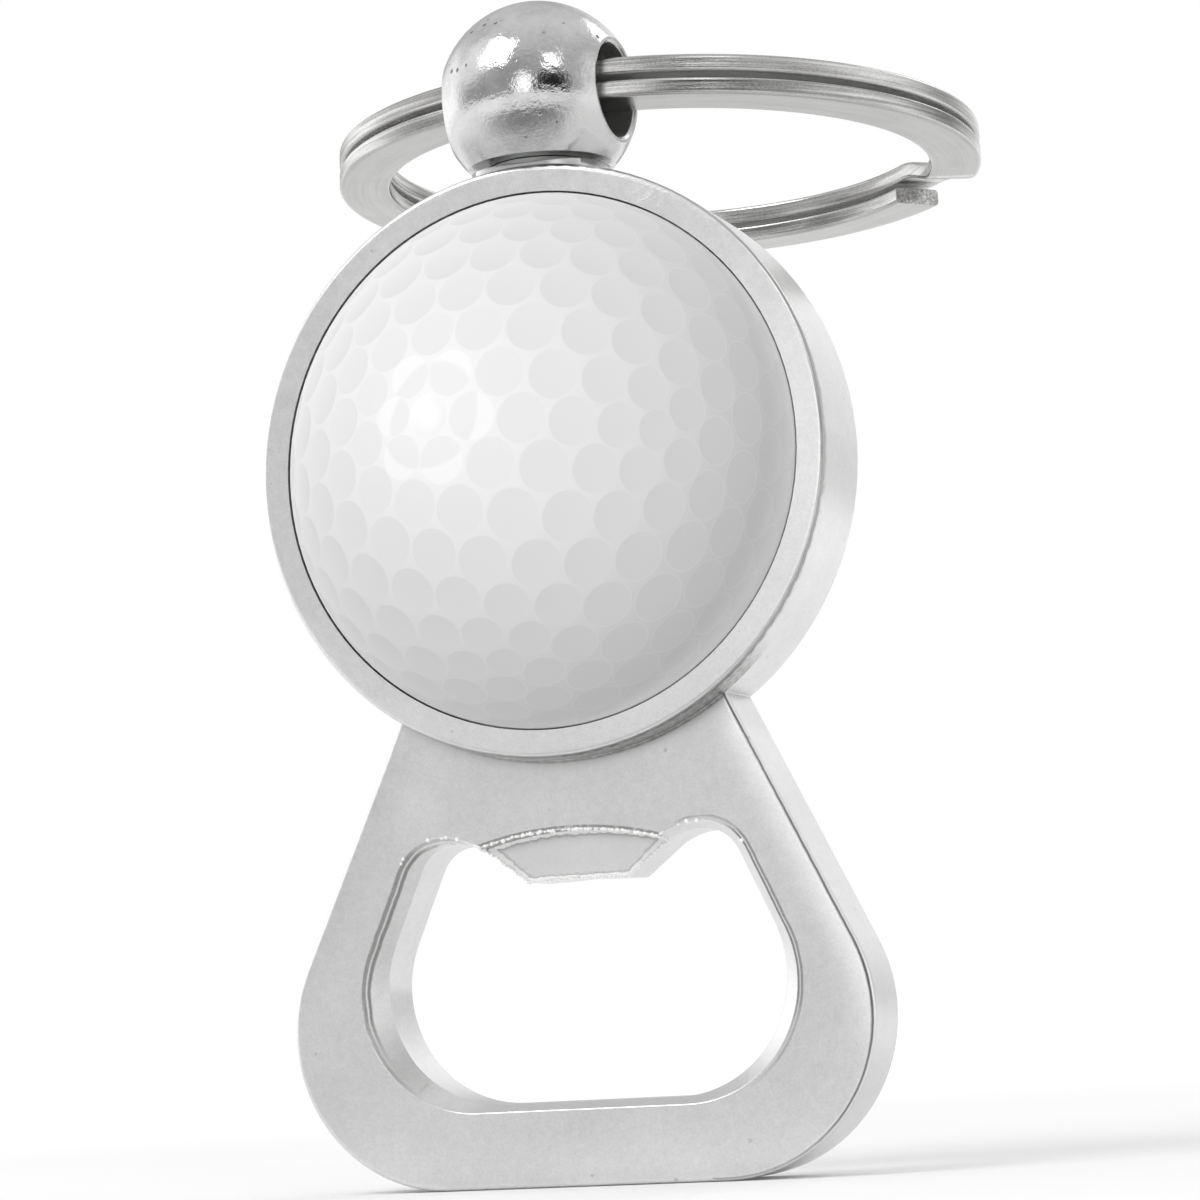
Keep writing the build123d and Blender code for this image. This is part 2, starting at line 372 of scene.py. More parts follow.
def outline_line(g, x, y, z):
    """The thin dark line of painted shade down the right-hand front edge of the opener."""
    off = g.minus(outline_reach(g, x, z), CORNER_RADIUS - OUTLINE_INSET)
    line = g.stripe(g.plus(off, g.ragged(x, z, *OUTLINE_RAGGED)), *OUTLINE_PEN)
    line = g.times(line, g.between(y, *OUTLINE_DEPTH))
    return g.times(line, g.above(x, OUTLINE_SIDE), g.ramp(z, *OUTLINE_FOOT))


BEZEL_INSET, BEZEL_PEN, BEZEL_RAGGED = 0.07, (0.03, 0.075, 0.85), (1.3, 0.05)
BEZEL_SIDE, BEZEL_REACH = (0.87, 0.50), (-0.15, 0.45)   # towards the lower right, and how far round
BEZEL_DEPTH = 0.5 - HEAD_HALF


def bezel_line(g, x, y, z):
    """The dark line of painted shade along the lower right of the bezel's rounded edge."""
    up, radius = from_head(g, x, z)
    off = g.plus(g.minus(radius, HEAD_RADIUS - BEZEL_INSET), g.ragged(x, z, *BEZEL_RAGGED))
    lower_right = g.minus(g.times(x, BEZEL_SIDE[0]), g.times(up, BEZEL_SIDE[1]))
    lower_right = g.math("DIVIDE", lower_right, radius)
    line = g.times(g.stripe(off, *BEZEL_PEN), g.ramp(lower_right, *BEZEL_REACH))
    return g.times(line, g.below(y, BEZEL_DEPTH))


FOOT_STARTS = (HEAD_RADIUS - 0.10, HEAD_RADIUS - 0.04)
FOOT_ENDS = (HEAD_RADIUS + 0.18, HEAD_RADIUS + 0.08)
FOOT_DEPTH, FOOT_TOP = (0.08 - HEAD_HALF, FRONT_FACE + 0.1), (24.0, 22.0)
FOOT_NOISE, FOOT_PATCHES = (4.0, 3.0), (0.30, 0.62, 0.45, 1.0)
FOOT_ACROSS = (-6.0, 5.0, 0.35, 0.72)                   # darker on the right


def bezel_foot(g, x, y, z):
    """Painted shade, patchy, on the low wall between the bezel and the opener's face."""
    radius = from_head(g, x, z)[1]
    on_wall = g.times(g.ramp(radius, *FOOT_STARTS), g.ramp(radius, *FOOT_ENDS))
    on_wall = g.times(on_wall, g.between(y, *FOOT_DEPTH), g.ramp(z, *FOOT_TOP))
    patchy = g.ramp(g.noise(g.join(x, y, z), *FOOT_NOISE), *FOOT_PATCHES)
    return g.times(on_wall, patchy, g.ramp(x, *FOOT_ACROSS))


MOUTH_SHIFT = (-1.0, 1.0, 0.15, -0.12)                  # outwards on the left, inwards on the right
MOUTH_RAGGED, MOUTH_GAP = (1.1, 0.08), 0.08
OUTER_PEN, INNER_PEN = (0.035, 0.08, 0.75), (0.025, 0.075, 0.85)
SIDES_FROM, SIDES_TO = (5.2, 8.4), (16.0, 15.2)
CORNERS_FROM, CORNERS_SHARE = (3.9, 5.6), 0.55
MOUTH_TOP, MOUTH_ACROSS, MOUTH_DEPTH = 16.2, (4.9, 5.6), -0.2


def opening_lines(g, x, y, z):
    """The dark double line of painted shade that runs down both sides of the opening."""
    shift = g.ramp(x, *MOUTH_SHIFT)
    off = g.plus(mouth_reach(g, x, z), shift, g.ragged(x, z, *MOUTH_RAGGED))
    outer = g.stripe(g.minus(off, MOUTH_GAP), *OUTER_PEN)
    inner = g.stripe(g.plus(off, MOUTH_GAP), *INNER_PEN)
    sides = g.times(g.ramp(z, *SIDES_FROM), g.ramp(z, *SIDES_TO))
    corners = g.times(g.ramp(z, *CORNERS_FROM), CORNERS_SHARE)
    line = g.most(g.times(inner, sides), g.times(outer, g.most(sides, corners)))
    line = g.times(line, g.below(z, MOUTH_TOP), g.ramp(g.size(x), *MOUTH_ACROSS))
    return g.times(line, g.below(y, MOUTH_DEPTH))


LIP_DEPTH = (LIP_FACE - 0.04, LIP_FACE + 0.2)
BURR_NOISE, BURR_SPREAD, BURR_START = (3.2, 2.0), 0.26, -0.06
BURR_EDGE, SHADOW_EDGE, SHADOW = (-0.10, -0.06), (-0.24, -0.12), 0.32
BURR_FOOT = LIP_CORNER[1] + 0.04
GROOVE_OUT, GROOVE_PEN, GROOVE_BREAKS = 0.11, (0.03, 0.09, 0.8), (0.30, 0.50, 0.35, 1.0)
GROOVE_DEPTH, GROOVE_HALF = FRONT_FACE + 0.1, LIP_HALF + 0.2
STEP_PEN, STEP_DEPTH = (0.03, 0.08, 0.6), (FRONT_FACE + 0.07, LIP_FACE - 0.05)


def lip_lines(g, x, y, z):
    """The lip's face, the white burrs round it, whose white is a painted glint, and the dark lines and
    painted shadow beside the arch above it.
    """
    wide = g.size(x)
    on_lip = g.times(g.below(wide, LIP_HALF), g.between(y, *LIP_DEPTH), g.above(z, LIP_LOW))
    arch = g.minus(g.hypot(x, g.minus(z, ARCH_MIDDLE)), ARCH_RADIUS)
    side = g.times(g.minus(wide, LIP_CORNER[0]), LIP_SIDE[0])
    side = g.times_plus(g.minus(z, LIP_CORNER[1]), LIP_SIDE[1], side)
    lower = g.minus(BURR_FOOT, z)
    uneven = g.noise(g.join(x, 0.0, z), *BURR_NOISE)
    inset = g.plus(g.most(arch, side, lower), g.times_plus(uneven, BURR_SPREAD, BURR_START))
    white = g.times(g.ramp(inset, *BURR_EDGE), on_lip)
    dark = g.times(g.ramp(inset, *SHADOW_EDGE), on_lip, g.apart(white), SHADOW)
    groove = g.times(g.stripe(g.minus(arch, GROOVE_OUT), *GROOVE_PEN), g.ramp(uneven, *GROOVE_BREAKS))
    groove = g.times(groove, g.below(y, GROOVE_DEPTH), g.below(wide, GROOVE_HALF))
    step = g.times(g.stripe(arch, *STEP_PEN), g.between(y, *STEP_DEPTH))
    return on_lip, white, g.most(dark, groove, g.times(step, g.below(wide, LIP_HALF)))


SPECKS_PER_MM, SPECK_RADIUS, SPECK_BLUR = 0.75, 0.13, 0.03
SPECK_SIZES, SPECK_PLACES, SPECK_PATCHES = (3.1, 0.0), (0.31, 1.0), (0.50, 0.58)


def specks(g, at):
    """1 on a few small pits."""
    cell = g.node("TexVoronoi", {"Vector": at, "Scale": SPECKS_PER_MM}, feature="F1").outputs
    reach = g.times(g.noise(cell["Position"], *SPECK_SIZES), SPECK_RADIUS)
    speck = g.ramp(g.minus(cell["Distance"], reach), 0.0, SPECK_BLUR, 1.0, 0.0)
    return g.times(speck, g.ramp(g.noise(at, *SPECK_PLACES), *SPECK_PATCHES))


SCRATCHES = ((0.35, 0.0), (1.9, 40.0))                  # direction in radians, offset in the noise
SCRATCH_STRETCH, SCRATCH_LANES, SCRATCH_WIDTH = 0.22, 7.0, 0.012
SCRATCH_NOISE, SCRATCH_PLACES, SCRATCH_PATCHES = (1.0, 1.0), (0.5, 1.0), (0.56, 0.64)


def scratches(g, at, x, y, z):
    """1 on a few hair lines in two directions."""
    lines = []
    for turn, offset in SCRATCHES:
        along = g.plus(g.times(x, math.cos(turn)), g.times(z, math.sin(turn)))
        across = g.minus(g.times(z, math.cos(turn)), g.times(x, math.sin(turn)))
        lane = g.join(g.times_plus(along, SCRATCH_STRETCH, offset), g.times(across, SCRATCH_LANES), y)
        line = g.stripe(g.minus(g.noise(lane, *SCRATCH_NOISE), 0.5), 0.0, SCRATCH_WIDTH, 1.0)
        here = g.noise(g.vector("ADD", at, (offset, 3.0, 7.0)), *SCRATCH_PLACES)
        here = g.ramp(here, *SCRATCH_PATCHES)
        lines.append(g.times(line, here))
    return g.most(*lines)


GRAIN_TONE, BROAD_TONE, MOTTLE_TONE = 0.45, 0.30, 0.25
# how much of the grain the painted corner shade takes, and its least share
CORNER_SHADE_GRAIN, CORNER_SHADE_LEAST = 0.7, 0.35
# how much of each layer's colour shows
SCRATCH_SHOWS, PIT_SHOWS, EDGE_SHOWS, LIP_SHOWS = 0.35, 0.5, 0.85, 0.45
CASTING_ROUGH, MOTTLE_ROUGH = 0.255, 0.07


def plated_casting():
    material, g, shader = new_material("plated_casting_finish")
    at = object_mm(g)
    x, y, z = g.split(at)
    broad = g.noise(at, *BROAD)
    mottle = g.noise(at, *MOTTLE)
    grain = g.noise(at, *GRAIN)
    speck = specks(g, at)
    marks = scratches(g, at, x, y, z)
    # painted shade: tight inside corners, found by ambient occlusion, are darkened
    corner = recess(g, CORNER_SHADE_REACH)
    soft, edge = rounded_edges(g, EDGE_ROUND_RADIUS)
    soft, edge = head_normal(g, soft, edge, x, y, z)
    on_band = g.times(g.between(y, *BAND_DEPTH), g.below(z, BAND_TOP))
    edge = g.times(edge, g.apart(on_band))
    lip_face, burr_glint, beside = lip_lines(g, x, y, z)
    # dark lines and painted shade: round the opening, beside the lip's arch and under the bezel
    dark_lines_and_shade = g.most(opening_lines(g, x, y, z), beside, bezel_foot(g, x, y, z))

    tone = g.plus(g.times(broad, BROAD_TONE), g.times(mottle, MOTTLE_TONE))
    tone = g.times_plus(grain, GRAIN_TONE, tone)
    colour = g.mix(g.ramp(tone, *TONE_RANGE, smooth=False), NICKEL_DARK, NICKEL_LIGHT)
    # edges: paler as wear and painted highlight, and darker as painted shade where they face right
    edge_light_and_shade = g.mix(right_edge_shade(g, soft, y), WORN_EDGE_HIGHLIGHT, SHADED_EDGE)
    layers = (
        (g.times(marks, SCRATCH_SHOWS), SCRATCH),
        (g.times(speck, PIT_SHOWS), PIT),
        # painted shade in the inside corners, with some grain
        (g.times(corner, g.times_plus(grain, CORNER_SHADE_GRAIN, CORNER_SHADE_LEAST)), CORNER_SHADE),
        (g.times(edge, EDGE_SHOWS), edge_light_and_shade),
        # painted shade along the bezel's lower-right edge
        (bezel_line(g, x, y, z), BEZEL_EDGE_SHADE),
        # painted shade down the opener's right-hand front edge
        (outline_line(g, x, y, z), OUTLINE_EDGE_SHADE),
        (g.times(lip_face, LIP_SHOWS), LIP_BRIGHT),
        # the dark lines and painted shade
        (dark_lines_and_shade, g.mix(grain, LINE_AND_SHADE_DARK, LINE_AND_SHADE_LIGHT)),
        # the burrs, near-white: a painted glint
        (burr_glint, BURR_GLINT_WHITE),
    )
    for amount, layer in layers:
        colour = g.mix(amount, colour, layer)

    rough = g.times_plus(mottle, MOTTLE_ROUGH, CASTING_ROUGH)
    for amount, change in ((grain, 0.06), (edge, -0.14), (corner, 0.12), (dark_lines_and_shade, 0.20)):
        rough = g.times_plus(amount, change, rough)
    height = g.plus(g.times(mottle, 1.2), g.times(grain, 1.6))
    for amount, change in ((marks, -0.5), (speck, -3.0), (dark_lines_and_shade, -3.0), (burr_glint, 4.0)):
        height = g.times_plus(amount, change, height)
    crowned = g.bump(polished_crown(g, x, y, z), MM, soft)

    # the burrs are not metallic, so their white shows as a painted glint
    g.put(shader.inputs["Metallic"], g.apart(burr_glint))
    put_surface(g, shader, colour, rough, g.bump(height, SKIN_RELIEF * MM, crowned))
    return material


# ---- bright plated ball -----------------------------------------------------------------------
BORE_RADIUS = 2.24
PITTED_SIDE = (-0.62, -0.55, 0.56)
BALL_DARK, BALL_LIGHT, BALL_FINE = grey(0.46, 0.464), grey(0.60, 0.598), grey(0.66, 0.657)
# the second grey is a painted highlight for the ball's sharp edges
BALL_PIT, BALL_RIM_HIGHLIGHT = grey(0.13), grey(0.74, 0.73)
# the bore's greys are paler than the ball's: painted light inside the bore
BORE_DARK, BORE_LIGHT = grey(0.66, 0.65), grey(0.80, 0.79)
PEEL, FINE, SMUDGE = (1.5, 3.0, 0.55), (6.5, 2.0, 0.6), (0.45, 3.0, 0.6)    # noise, as on the casting
PITS_PER_MM, PIT_SIZE = 1.7, (0.10, 0.24)
PIT_PLACES, PIT_PATCHES, PITTED_CAP = (0.8, 1.0), (0.56, 0.64), (0.78, 0.92)
SMUDGE_TONE, FINE_TONE, BALL_RIM_HIGHLIGHT_SHOWS = (0.35, 0.65), (0.35, 0.75, 0.0, 0.35), 0.7
BALL_ROUGH, SMUDGE_ROUGH, SMUDGE_RANGE = 0.10, 0.08, (0.40, 0.70)
BORE_ROUGH, PIT_ROUGH = 0.28, 0.25
PEEL_HIGH, FINE_HIGH, PIT_HIGH = 5.0, 2.1, -3.0
BALL_RELIEF, BALL_EDGE_ROUND = 0.005, 0.07

ring_tilt = next(joint for joint in frame["joints"] if joint["name"] == "ring_tilt")
hinge = Vector(ring_tilt["axis"]).normalized()              # along the ball's bore
hinge_at = Vector(ring_tilt["pos_m"]) * PER_MM


def plated_ball():
    material, g, shader = new_material("plated_ball_finish")
    at = object_mm(g)
    peel = g.noise(at, *PEEL)
    fine = g.noise(at, *FINE)
    smudge = g.noise(at, *SMUDGE)
    from_middle = g.vector("SUBTRACT", at, tuple(hinge_at))
    on_axis = g.dot(from_middle, tuple(hinge))
    off_axis = g.minus(g.dot(from_middle, from_middle), g.times(on_axis, on_axis))
    in_bore = g.below(off_axis, BORE_RADIUS ** 2)
    upper_left = g.dot(g.vector("NORMALIZE", from_middle), PITTED_SIDE)
    patch = g.ramp(g.noise(at, *PIT_PLACES), *PIT_PATCHES)
    patch = g.most(patch, g.ramp(upper_left, *PITTED_CAP))
    dots = g.node("TexVoronoi", {"Vector": at, "Scale": PITS_PER_MM}, feature="F1").outputs["Distance"]
    pits = g.times(g.ramp(dots, *PIT_SIZE, 1.0, 0.0), patch)
    soft, edge = rounded_edges(g, BALL_EDGE_ROUND)

    colour = g.mix(g.ramp(smudge, *SMUDGE_TONE), BALL_DARK, BALL_LIGHT)
    colour = g.mix(g.ramp(fine, *FINE_TONE), colour, BALL_FINE)
    colour = g.mix(pits, colour, BALL_PIT)
    # painted highlight: the ball's sharp edges are made paler
    colour = g.mix(g.times(edge, BALL_RIM_HIGHLIGHT_SHOWS), colour, BALL_RIM_HIGHLIGHT)
    # painted light: the inside of the bore is paler and rougher than the ball, so it is not black
    colour = g.mix(in_bore, colour, g.mix(fine, BORE_DARK, BORE_LIGHT))
    rough = g.times_plus(g.ramp(smudge, *SMUDGE_RANGE), SMUDGE_ROUGH, BALL_ROUGH)
    rough = g.times_plus(in_bore, BORE_ROUGH, rough)
    rough = g.times_plus(pits, PIT_ROUGH, rough)
    height = g.times_plus(peel, PEEL_HIGH, g.times(fine, FINE_HIGH))
    height = g.times_plus(pits, PIT_HIGH, height)

    shader.inputs["Metallic"].default_value = 1.0
    put_surface(g, shader, colour, rough, g.bump(height, BALL_RELIEF * MM, soft))
    return material


# ---- ring wire: rolled flat wire with marks that run round the ring ---------------------------
EDGE_DARK, EDGE_LIGHT = rgb(0.25, 0.248, 0.242), rgb(0.62, 0.617, 0.608)    # the wire's thin sides
FLAT_DARK, FLAT_LIGHT = rgb(0.32, 0.317, 0.309), rgb(0.52, 0.517, 0.508)    # its broad faces
# paler greys: painted light in the gaps between the coils, and wear with painted highlight on the wire's
# edges
GAP_BRIGHT, WIRE_WORN_HIGHLIGHT = grey(0.95, 0.94), grey(0.80, 0.79)
DRAWN, WORKED = (1.6, 7.0, 7.0), (3.0, 1.2, 1.6)            # noise round, across and along the axis
STREAK_NOISE, COARSE_NOISE, WIRE_GRAIN = (1.0, 3.0, 0.6), (1.0, 2.0), (11.0, 2.0, 0.6)
WIRE_PATCHES, PATCH_RANGE = (0.5, 2.0), (0.35, 0.7)
BROAD_FACE, BROAD_CALM = (0.5, 0.9), -0.65                  # the marks are weaker on the broad faces
STREAK_TONE, COARSE_TONE, GRAIN_SPREAD = 0.6, 0.4, 0.9
WIRE_TONE = (0.34, 0.64, -0.5, 0.5)
GAP_SHOWS, WORN_HIGHLIGHT_SHOWS = 0.9, 0.8
WIRE_ROUGH, PATCH_ROUGH, GRAIN_ROUGH, GAP_ROUGH = 0.14, 0.08, 0.06, 0.35
COARSE_HIGH, STREAK_HIGH, GRAIN_HIGH = 3.0, 2.0, 0.6
GAP_REACH, WIRE_EDGE_ROUND, WIRE_RELIEF = 0.35, 0.05, 0.005


def ring_wire():
    material, g, shader = new_material("ring_wire_finish")
    centre = middle_mm("split_ring")
    outward = centre - hinge_at
    outward = (outward - hinge * outward.dot(hinge)).normalized()
    axis = hinge.cross(outward).normalized()
    at = object_mm(g)
    from_centre = g.vector("SUBTRACT", at, tuple(centre))
    a = g.dot(from_centre, tuple(outward))
    b = g.dot(from_centre, tuple(hinge))
    high = g.dot(from_centre, tuple(axis))
    radius = g.hypot(a, b)
    angle = g.math("ARCTAN2", b, a)
    round_ring = (angle, radius, high)
    drawn = g.join(*(g.times(value, scale) for value, scale in zip(round_ring, DRAWN)))
    worked = g.join(*(g.times(value, scale) for value, scale in zip(round_ring, WORKED)))
    streak = g.noise(drawn, *STREAK_NOISE)
    coarse = g.noise(worked, *COARSE_NOISE)
    grain = g.noise(at, *WIRE_GRAIN)
    patch = g.noise(at, *WIRE_PATCHES)
    gap = recess(g, GAP_REACH)
    soft, edge = rounded_edges(g, WIRE_EDGE_ROUND)

    facing = g.dot(g.node("TexCoord").outputs["Normal"], tuple(axis))
    flat = g.ramp(g.size(facing), *BROAD_FACE)
    calm = g.times_plus(flat, BROAD_CALM, 1.0)
    tone = g.plus(g.times(streak, STREAK_TONE), g.times(coarse, COARSE_TONE))
    tone = g.times_plus(g.ramp(tone, *WIRE_TONE), calm, 0.5)
    tone = g.math("MULTIPLY_ADD", g.minus(grain, 0.5), GRAIN_SPREAD, tone, clamp=True)
    colour = g.mix(tone, g.mix(flat, EDGE_DARK, FLAT_DARK), g.mix(flat, EDGE_LIGHT, FLAT_LIGHT))
    # painted light: the occluded gaps between the coils are made paler and rougher
    colour = g.mix(g.times(gap, GAP_SHOWS), colour, GAP_BRIGHT)
    # wear and painted highlight: the wire's edges are made paler
    colour = g.mix(g.times(edge, WORN_HIGHLIGHT_SHOWS), colour, WIRE_WORN_HIGHLIGHT)
    rough = g.times_plus(g.ramp(patch, *PATCH_RANGE), PATCH_ROUGH, WIRE_ROUGH)
    rough = g.times_plus(grain, GRAIN_ROUGH, rough)
    rough = g.times_plus(gap, GAP_ROUGH, rough)
    relief = g.times_plus(coarse, COARSE_HIGH, g.times(streak, STREAK_HIGH))
    relief = g.times_plus(relief, calm, g.times(grain, GRAIN_HIGH))

    shader.inputs["Metallic"].default_value = 1.0
    put_surface(g, shader, colour, rough, g.bump(relief, WIRE_RELIEF * MM, soft))
    return material


# ---- the picture under its clear cover: a dimpled ball ----------------------------------------
GOLDEN = (1.0 + 5.0 ** 0.5) / 2.0
DIMPLE_STEPS = 6                            # lattice steps along one edge of the icosahedron
DIMPLE_FILL = 0.470                         # dimple radius over the distance to its neighbours
BALL_TURN = Vector((-1.179, 0.330, -1.231))                 # rotation vector, radians
LIGHT_ON_BALL = Vector((-0.424, 0.206, 0.882)).normalized()
MIRROR = Vector((-math.cos(math.pi / 5), -0.5, math.sqrt(0.75 - math.cos(math.pi / 5) ** 2)))
FOLDS, FOLDS_OF_LATTICE = 5, 8              # mirrorings, in the material and in the script
SAME_PLACE = 1e-3
PICTURE_GAIN = 0.944

SHADE_LEVEL, SHADE_SIDE, SHADE_RIM, SHADE_SKEW = 0.958, (-0.178, 0.158, -0.159), -0.338, -0.047
GLOW, GLOW_POWER = 0.075, 16.0              # the soft bright spot in the print
SMOOTH_GAIN = 1.022                         # ball between its dimples
DIMPLE_EDGE, RIM_WIDTH = 0.003, 0.006       # radians
HOLLOW_LIT = (0.1, 0.8)                     # from far from the light to near it
HOLLOW_SLOPE, HOLLOW_LEVEL = (-0.42, -0.80), (0.004, -0.050)
CRESCENT_RING, CRESCENT_EDGE = (math.cos(0.26), math.cos(0.25)), (-0.0035, -0.0075)
CRESCENT_NOISE, CRESCENT_WANDER = (2.6, 0.0), 0.026
GLOW_MIDDLE = (0.9965, 1.0)
OUTLINE_LIT, OUTLINE_PALE = (0.70, 0.25), 0.035
FAR_SIDE, FAR_PALE = (0.02, -0.25), 0.10
PRINT_SIZE, PRINT_WHITEST = 1.002, 1.02     # the printed ball's radius over the disc's; highest tone
PRINT_NOISE, PRINT_GRAIN = (18.0, 2.0), 0.02
COVER_NOISE, COVER_RIPPLE = (0.25, 2.0), 0.01


def dimple_lattice():
    """Every dimple centre on the ball, as unit vectors."""
    points = []
    for s in (-1, 1):
        for t in (-GOLDEN, GOLDEN):
            points += [Vector((0, s, t)), Vector((s, t, 0)), Vector((t, 0, s))]
    points = [p.normalized() for p in points]
    near = max(points[0].dot(p) for p in points[1:])
    found = []
    for i, a in enumerate(points):
        for j, b in enumerate(points[:i]):
            for c in points[:j]:
                if min(a.dot(b), b.dot(c), a.dot(c)) < near - 1e-6:
                    continue
                for u in range(DIMPLE_STEPS + 1):
                    for v in range(DIMPLE_STEPS + 1 - u):
                        p = (a * u + b * v + c * (DIMPLE_STEPS - u - v)).normalized()
                        if all((p - q).length > SAME_PLACE for q in found):
                            found.append(p)
    return found


def fold(p):
    """Bring a direction into one corner of the icosahedron's mirrors."""
    p = p.copy()
    for _ in range(FOLDS_OF_LATTICE):
        p.x, p.y = abs(p.x), abs(p.y)
        p -= 2.0 * min(0.0, p.dot(MIRROR)) * MIRROR
    return p


def dimple_kinds(lattice):
    """The different dimples after folding: centre and angular radius."""
    kinds = []
    for q in lattice:
        p = fold(q)
        if any((p - other).length < SAME_PLACE for other, _ in kinds):
            continue
        gaps = sorted(q.angle(other) for other in lattice if other is not q)[:5]
        kinds.append((p, DIMPLE_FILL * sum(gaps) / len(gaps)))
    return kinds


def folded(g, seen, lattice):
    """The direction seen and the light's, brought together into that corner."""
    turn = Matrix.Rotation(BALL_TURN.length, 3, BALL_TURN)
    nearest = max(lattice, key=(turn @ LIGHT_ON_BALL).dot)
    turn = (turn @ LIGHT_ON_BALL).rotation_difference(nearest).to_matrix() @ turn
    p = g.join(*(g.dot(seen, tuple(row)) for row in turn))
    light = tuple(turn @ LIGHT_ON_BALL)
    for _ in range(FOLDS):
        place = g.split(p)
        signs = g.join(g.math("SIGN", place[0]), g.math("SIGN", place[1]), 1.0)
        p = g.vector("MULTIPLY", p, signs)
        light = g.vector("MULTIPLY", light, signs)
        side = g.dot(p, tuple(MIRROR))
        behind = g.times(g.below(side, 0.0), -2.0)
        shift = g.times(side, behind)
        p = g.vector("MULTIPLY_ADD", tuple(MIRROR), g.join(shift, shift, shift), p)
        shift = g.times(g.dot(light, tuple(MIRROR)), behind)
        light = g.vector("MULTIPLY_ADD", tuple(MIRROR), g.join(shift, shift, shift), light)
    return p, light


def nearest_dimple(g, p, lattice):
    """The nearest dimple's centre and radius, and the cosine of the angle to it."""
    (first, reach), *others = dimple_kinds(lattice)
    middle = tuple(first)
    best = g.dot(p, middle)
    for centre, size in others:
        near = g.dot(p, tuple(centre))
        nearer = g.above(near, best)
        best = g.most(best, near)
        middle = g.mix(nearer, middle, tuple(centre), "VECTOR")
        reach = g.mix(nearer, reach, size, "FLOAT")
    return middle, reach, best


def smooth_ball(g, seen, x, z, square):
    """The printed ball without its dimples: a soft light from the upper left."""
    base = g.plus(g.dot(seen, SHADE_SIDE), g.times_plus(square, SHADE_RIM, SHADE_LEVEL))
    base = g.times_plus(g.times(x, z), SHADE_SKEW, base)
    glow = g.math("POWER", g.most(g.dot(seen, tuple(LIGHT_ON_BALL)), 0.0), GLOW_POWER)
    return g.times_plus(glow, GLOW, base)


def dimpled_ball(g, seen, base):
    """The printed ball with its dimples."""
    lattice = dimple_lattice()
    p, light = folded(g, seen, lattice)
    middle, reach, best = nearest_dimple(g, p, lattice)
    edge = g.minus(g.math("ARCCOSINE", g.math("MINIMUM", best, 1.0)), reach)
    inside = g.ramp(edge, -DIMPLE_EDGE, DIMPLE_EDGE, 1.0, 0.0)
    lit = g.dot(p, light)
    slope = g.dot(g.vector("SUBTRACT", p, middle), light)       # positive on the side nearest the light
    hollow = g.times(slope, g.ramp(lit, *HOLLOW_LIT, *HOLLOW_SLOPE))
    hollow = g.plus(hollow, g.ramp(lit, *HOLLOW_LIT, *HOLLOW_LEVEL))
    value = g.times(base, g.times_plus(inside, hollow, SMOOTH_GAIN))

    # bright crescents in the ring of dimples round the glow, and a bright middle in the one at it
    round_glow = g.ramp(g.dot(middle, light), *CRESCENT_RING)
    wander = g.times(g.minus(g.noise(seen, *CRESCENT_NOISE), 0.5), CRESCENT_WANDER)
    crescent = g.ramp(g.plus(slope, wander), *CRESCENT_EDGE)
    value = g.times_plus(g.times(crescent, inside, round_glow), GLOW, value)
    value = g.times_plus(g.times(inside, g.ramp(lit, *GLOW_MIDDLE)), GLOW, value)

    # pale outlines away from the light, and the paler far side
    outline = g.times(g.stripe(edge, 0.0, RIM_WIDTH, 1.0), g.ramp(lit, *OUTLINE_LIT))
    value = g.times_plus(outline, OUTLINE_PALE, value)
    return g.plus(value, g.times(g.ramp(lit, *FAR_SIDE), FAR_PALE))


def picture():
    material, g, shader = new_material("picture_finish")
    low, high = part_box("printed_disc")
    radius = (high[0] - low[0]) / 2 * PER_MM
    at = g.vector("SUBTRACT", object_mm(g), tuple(middle_mm("printed_disc")))
    x, _, z = g.split(g.vector("SCALE", at, scale=1.0 / (radius * PRINT_SIZE)))
    square = g.plus(g.times(x, x), g.times(z, z))
    depth = g.math("SQRT", g.most(g.minus(1.0, square), 0.0))
    seen = g.join(x, z, depth)
    value = dimpled_ball(g, seen, smooth_ball(g, seen, x, z, square))
    grain = g.noise(object_mm(g), *PRINT_NOISE)
    value = g.times(value, g.times_plus(grain, PRINT_GRAIN, 1.0 - PRINT_GRAIN / 2))
    value = g.times(g.math("MINIMUM", value, PRINT_WHITEST), PICTURE_GAIN)
    ripple = g.noise(object_mm(g), *COVER_NOISE)

    colour = g.node("CombineColor", {0: value, 1: value, 2: value}).outputs[0]
    put_surface(g, shader, colour, 0.55)
    shader.inputs["Specular IOR Level"].default_value = 0.25
    shader.inputs["Coat Weight"].default_value = 0.35
    shader.inputs["Coat Roughness"].default_value = 0.08
    g.put(shader.inputs["Coat Normal"], g.bump(ripple, COVER_RIPPLE * MM))
    return material


# ---- hidden and small pieces ------------------------------------------------------------------
NYLON_DARK, NYLON_LIGHT = grey(0.36, 0.35), grey(0.44, 0.43)
STEEL_DARK, STEEL_LIGHT = rgb(0.50, 0.49, 0.47), rgb(0.66, 0.65, 0.63)
FOAM_DARK, FOAM_LIGHT = rgb(0.62, 0.61, 0.58), rgb(0.74, 0.73, 0.70)
# near-white for the plating nodules: a painted glint
BEAD_DARK, BEAD_LIGHT = grey(0.90, 0.895), grey(0.98, 0.975)


def nylon():
    material, g, shader = new_material("washer_finish")
    at = object_mm(g)
    cloud = g.noise(at, 2.0, 3.0)
    grain = g.noise(at, 14.0, 2.0)
    rough = g.times_plus(grain, 0.15, 0.35)
    put_surface(g, shader, g.mix(cloud, NYLON_DARK, NYLON_LIGHT), rough, g.bump(grain, 0.003 * MM))
    shader.inputs["Subsurface Weight"].default_value = 0.15
    shader.inputs["Subsurface Scale"].default_value = 0.5 * MM
    return material


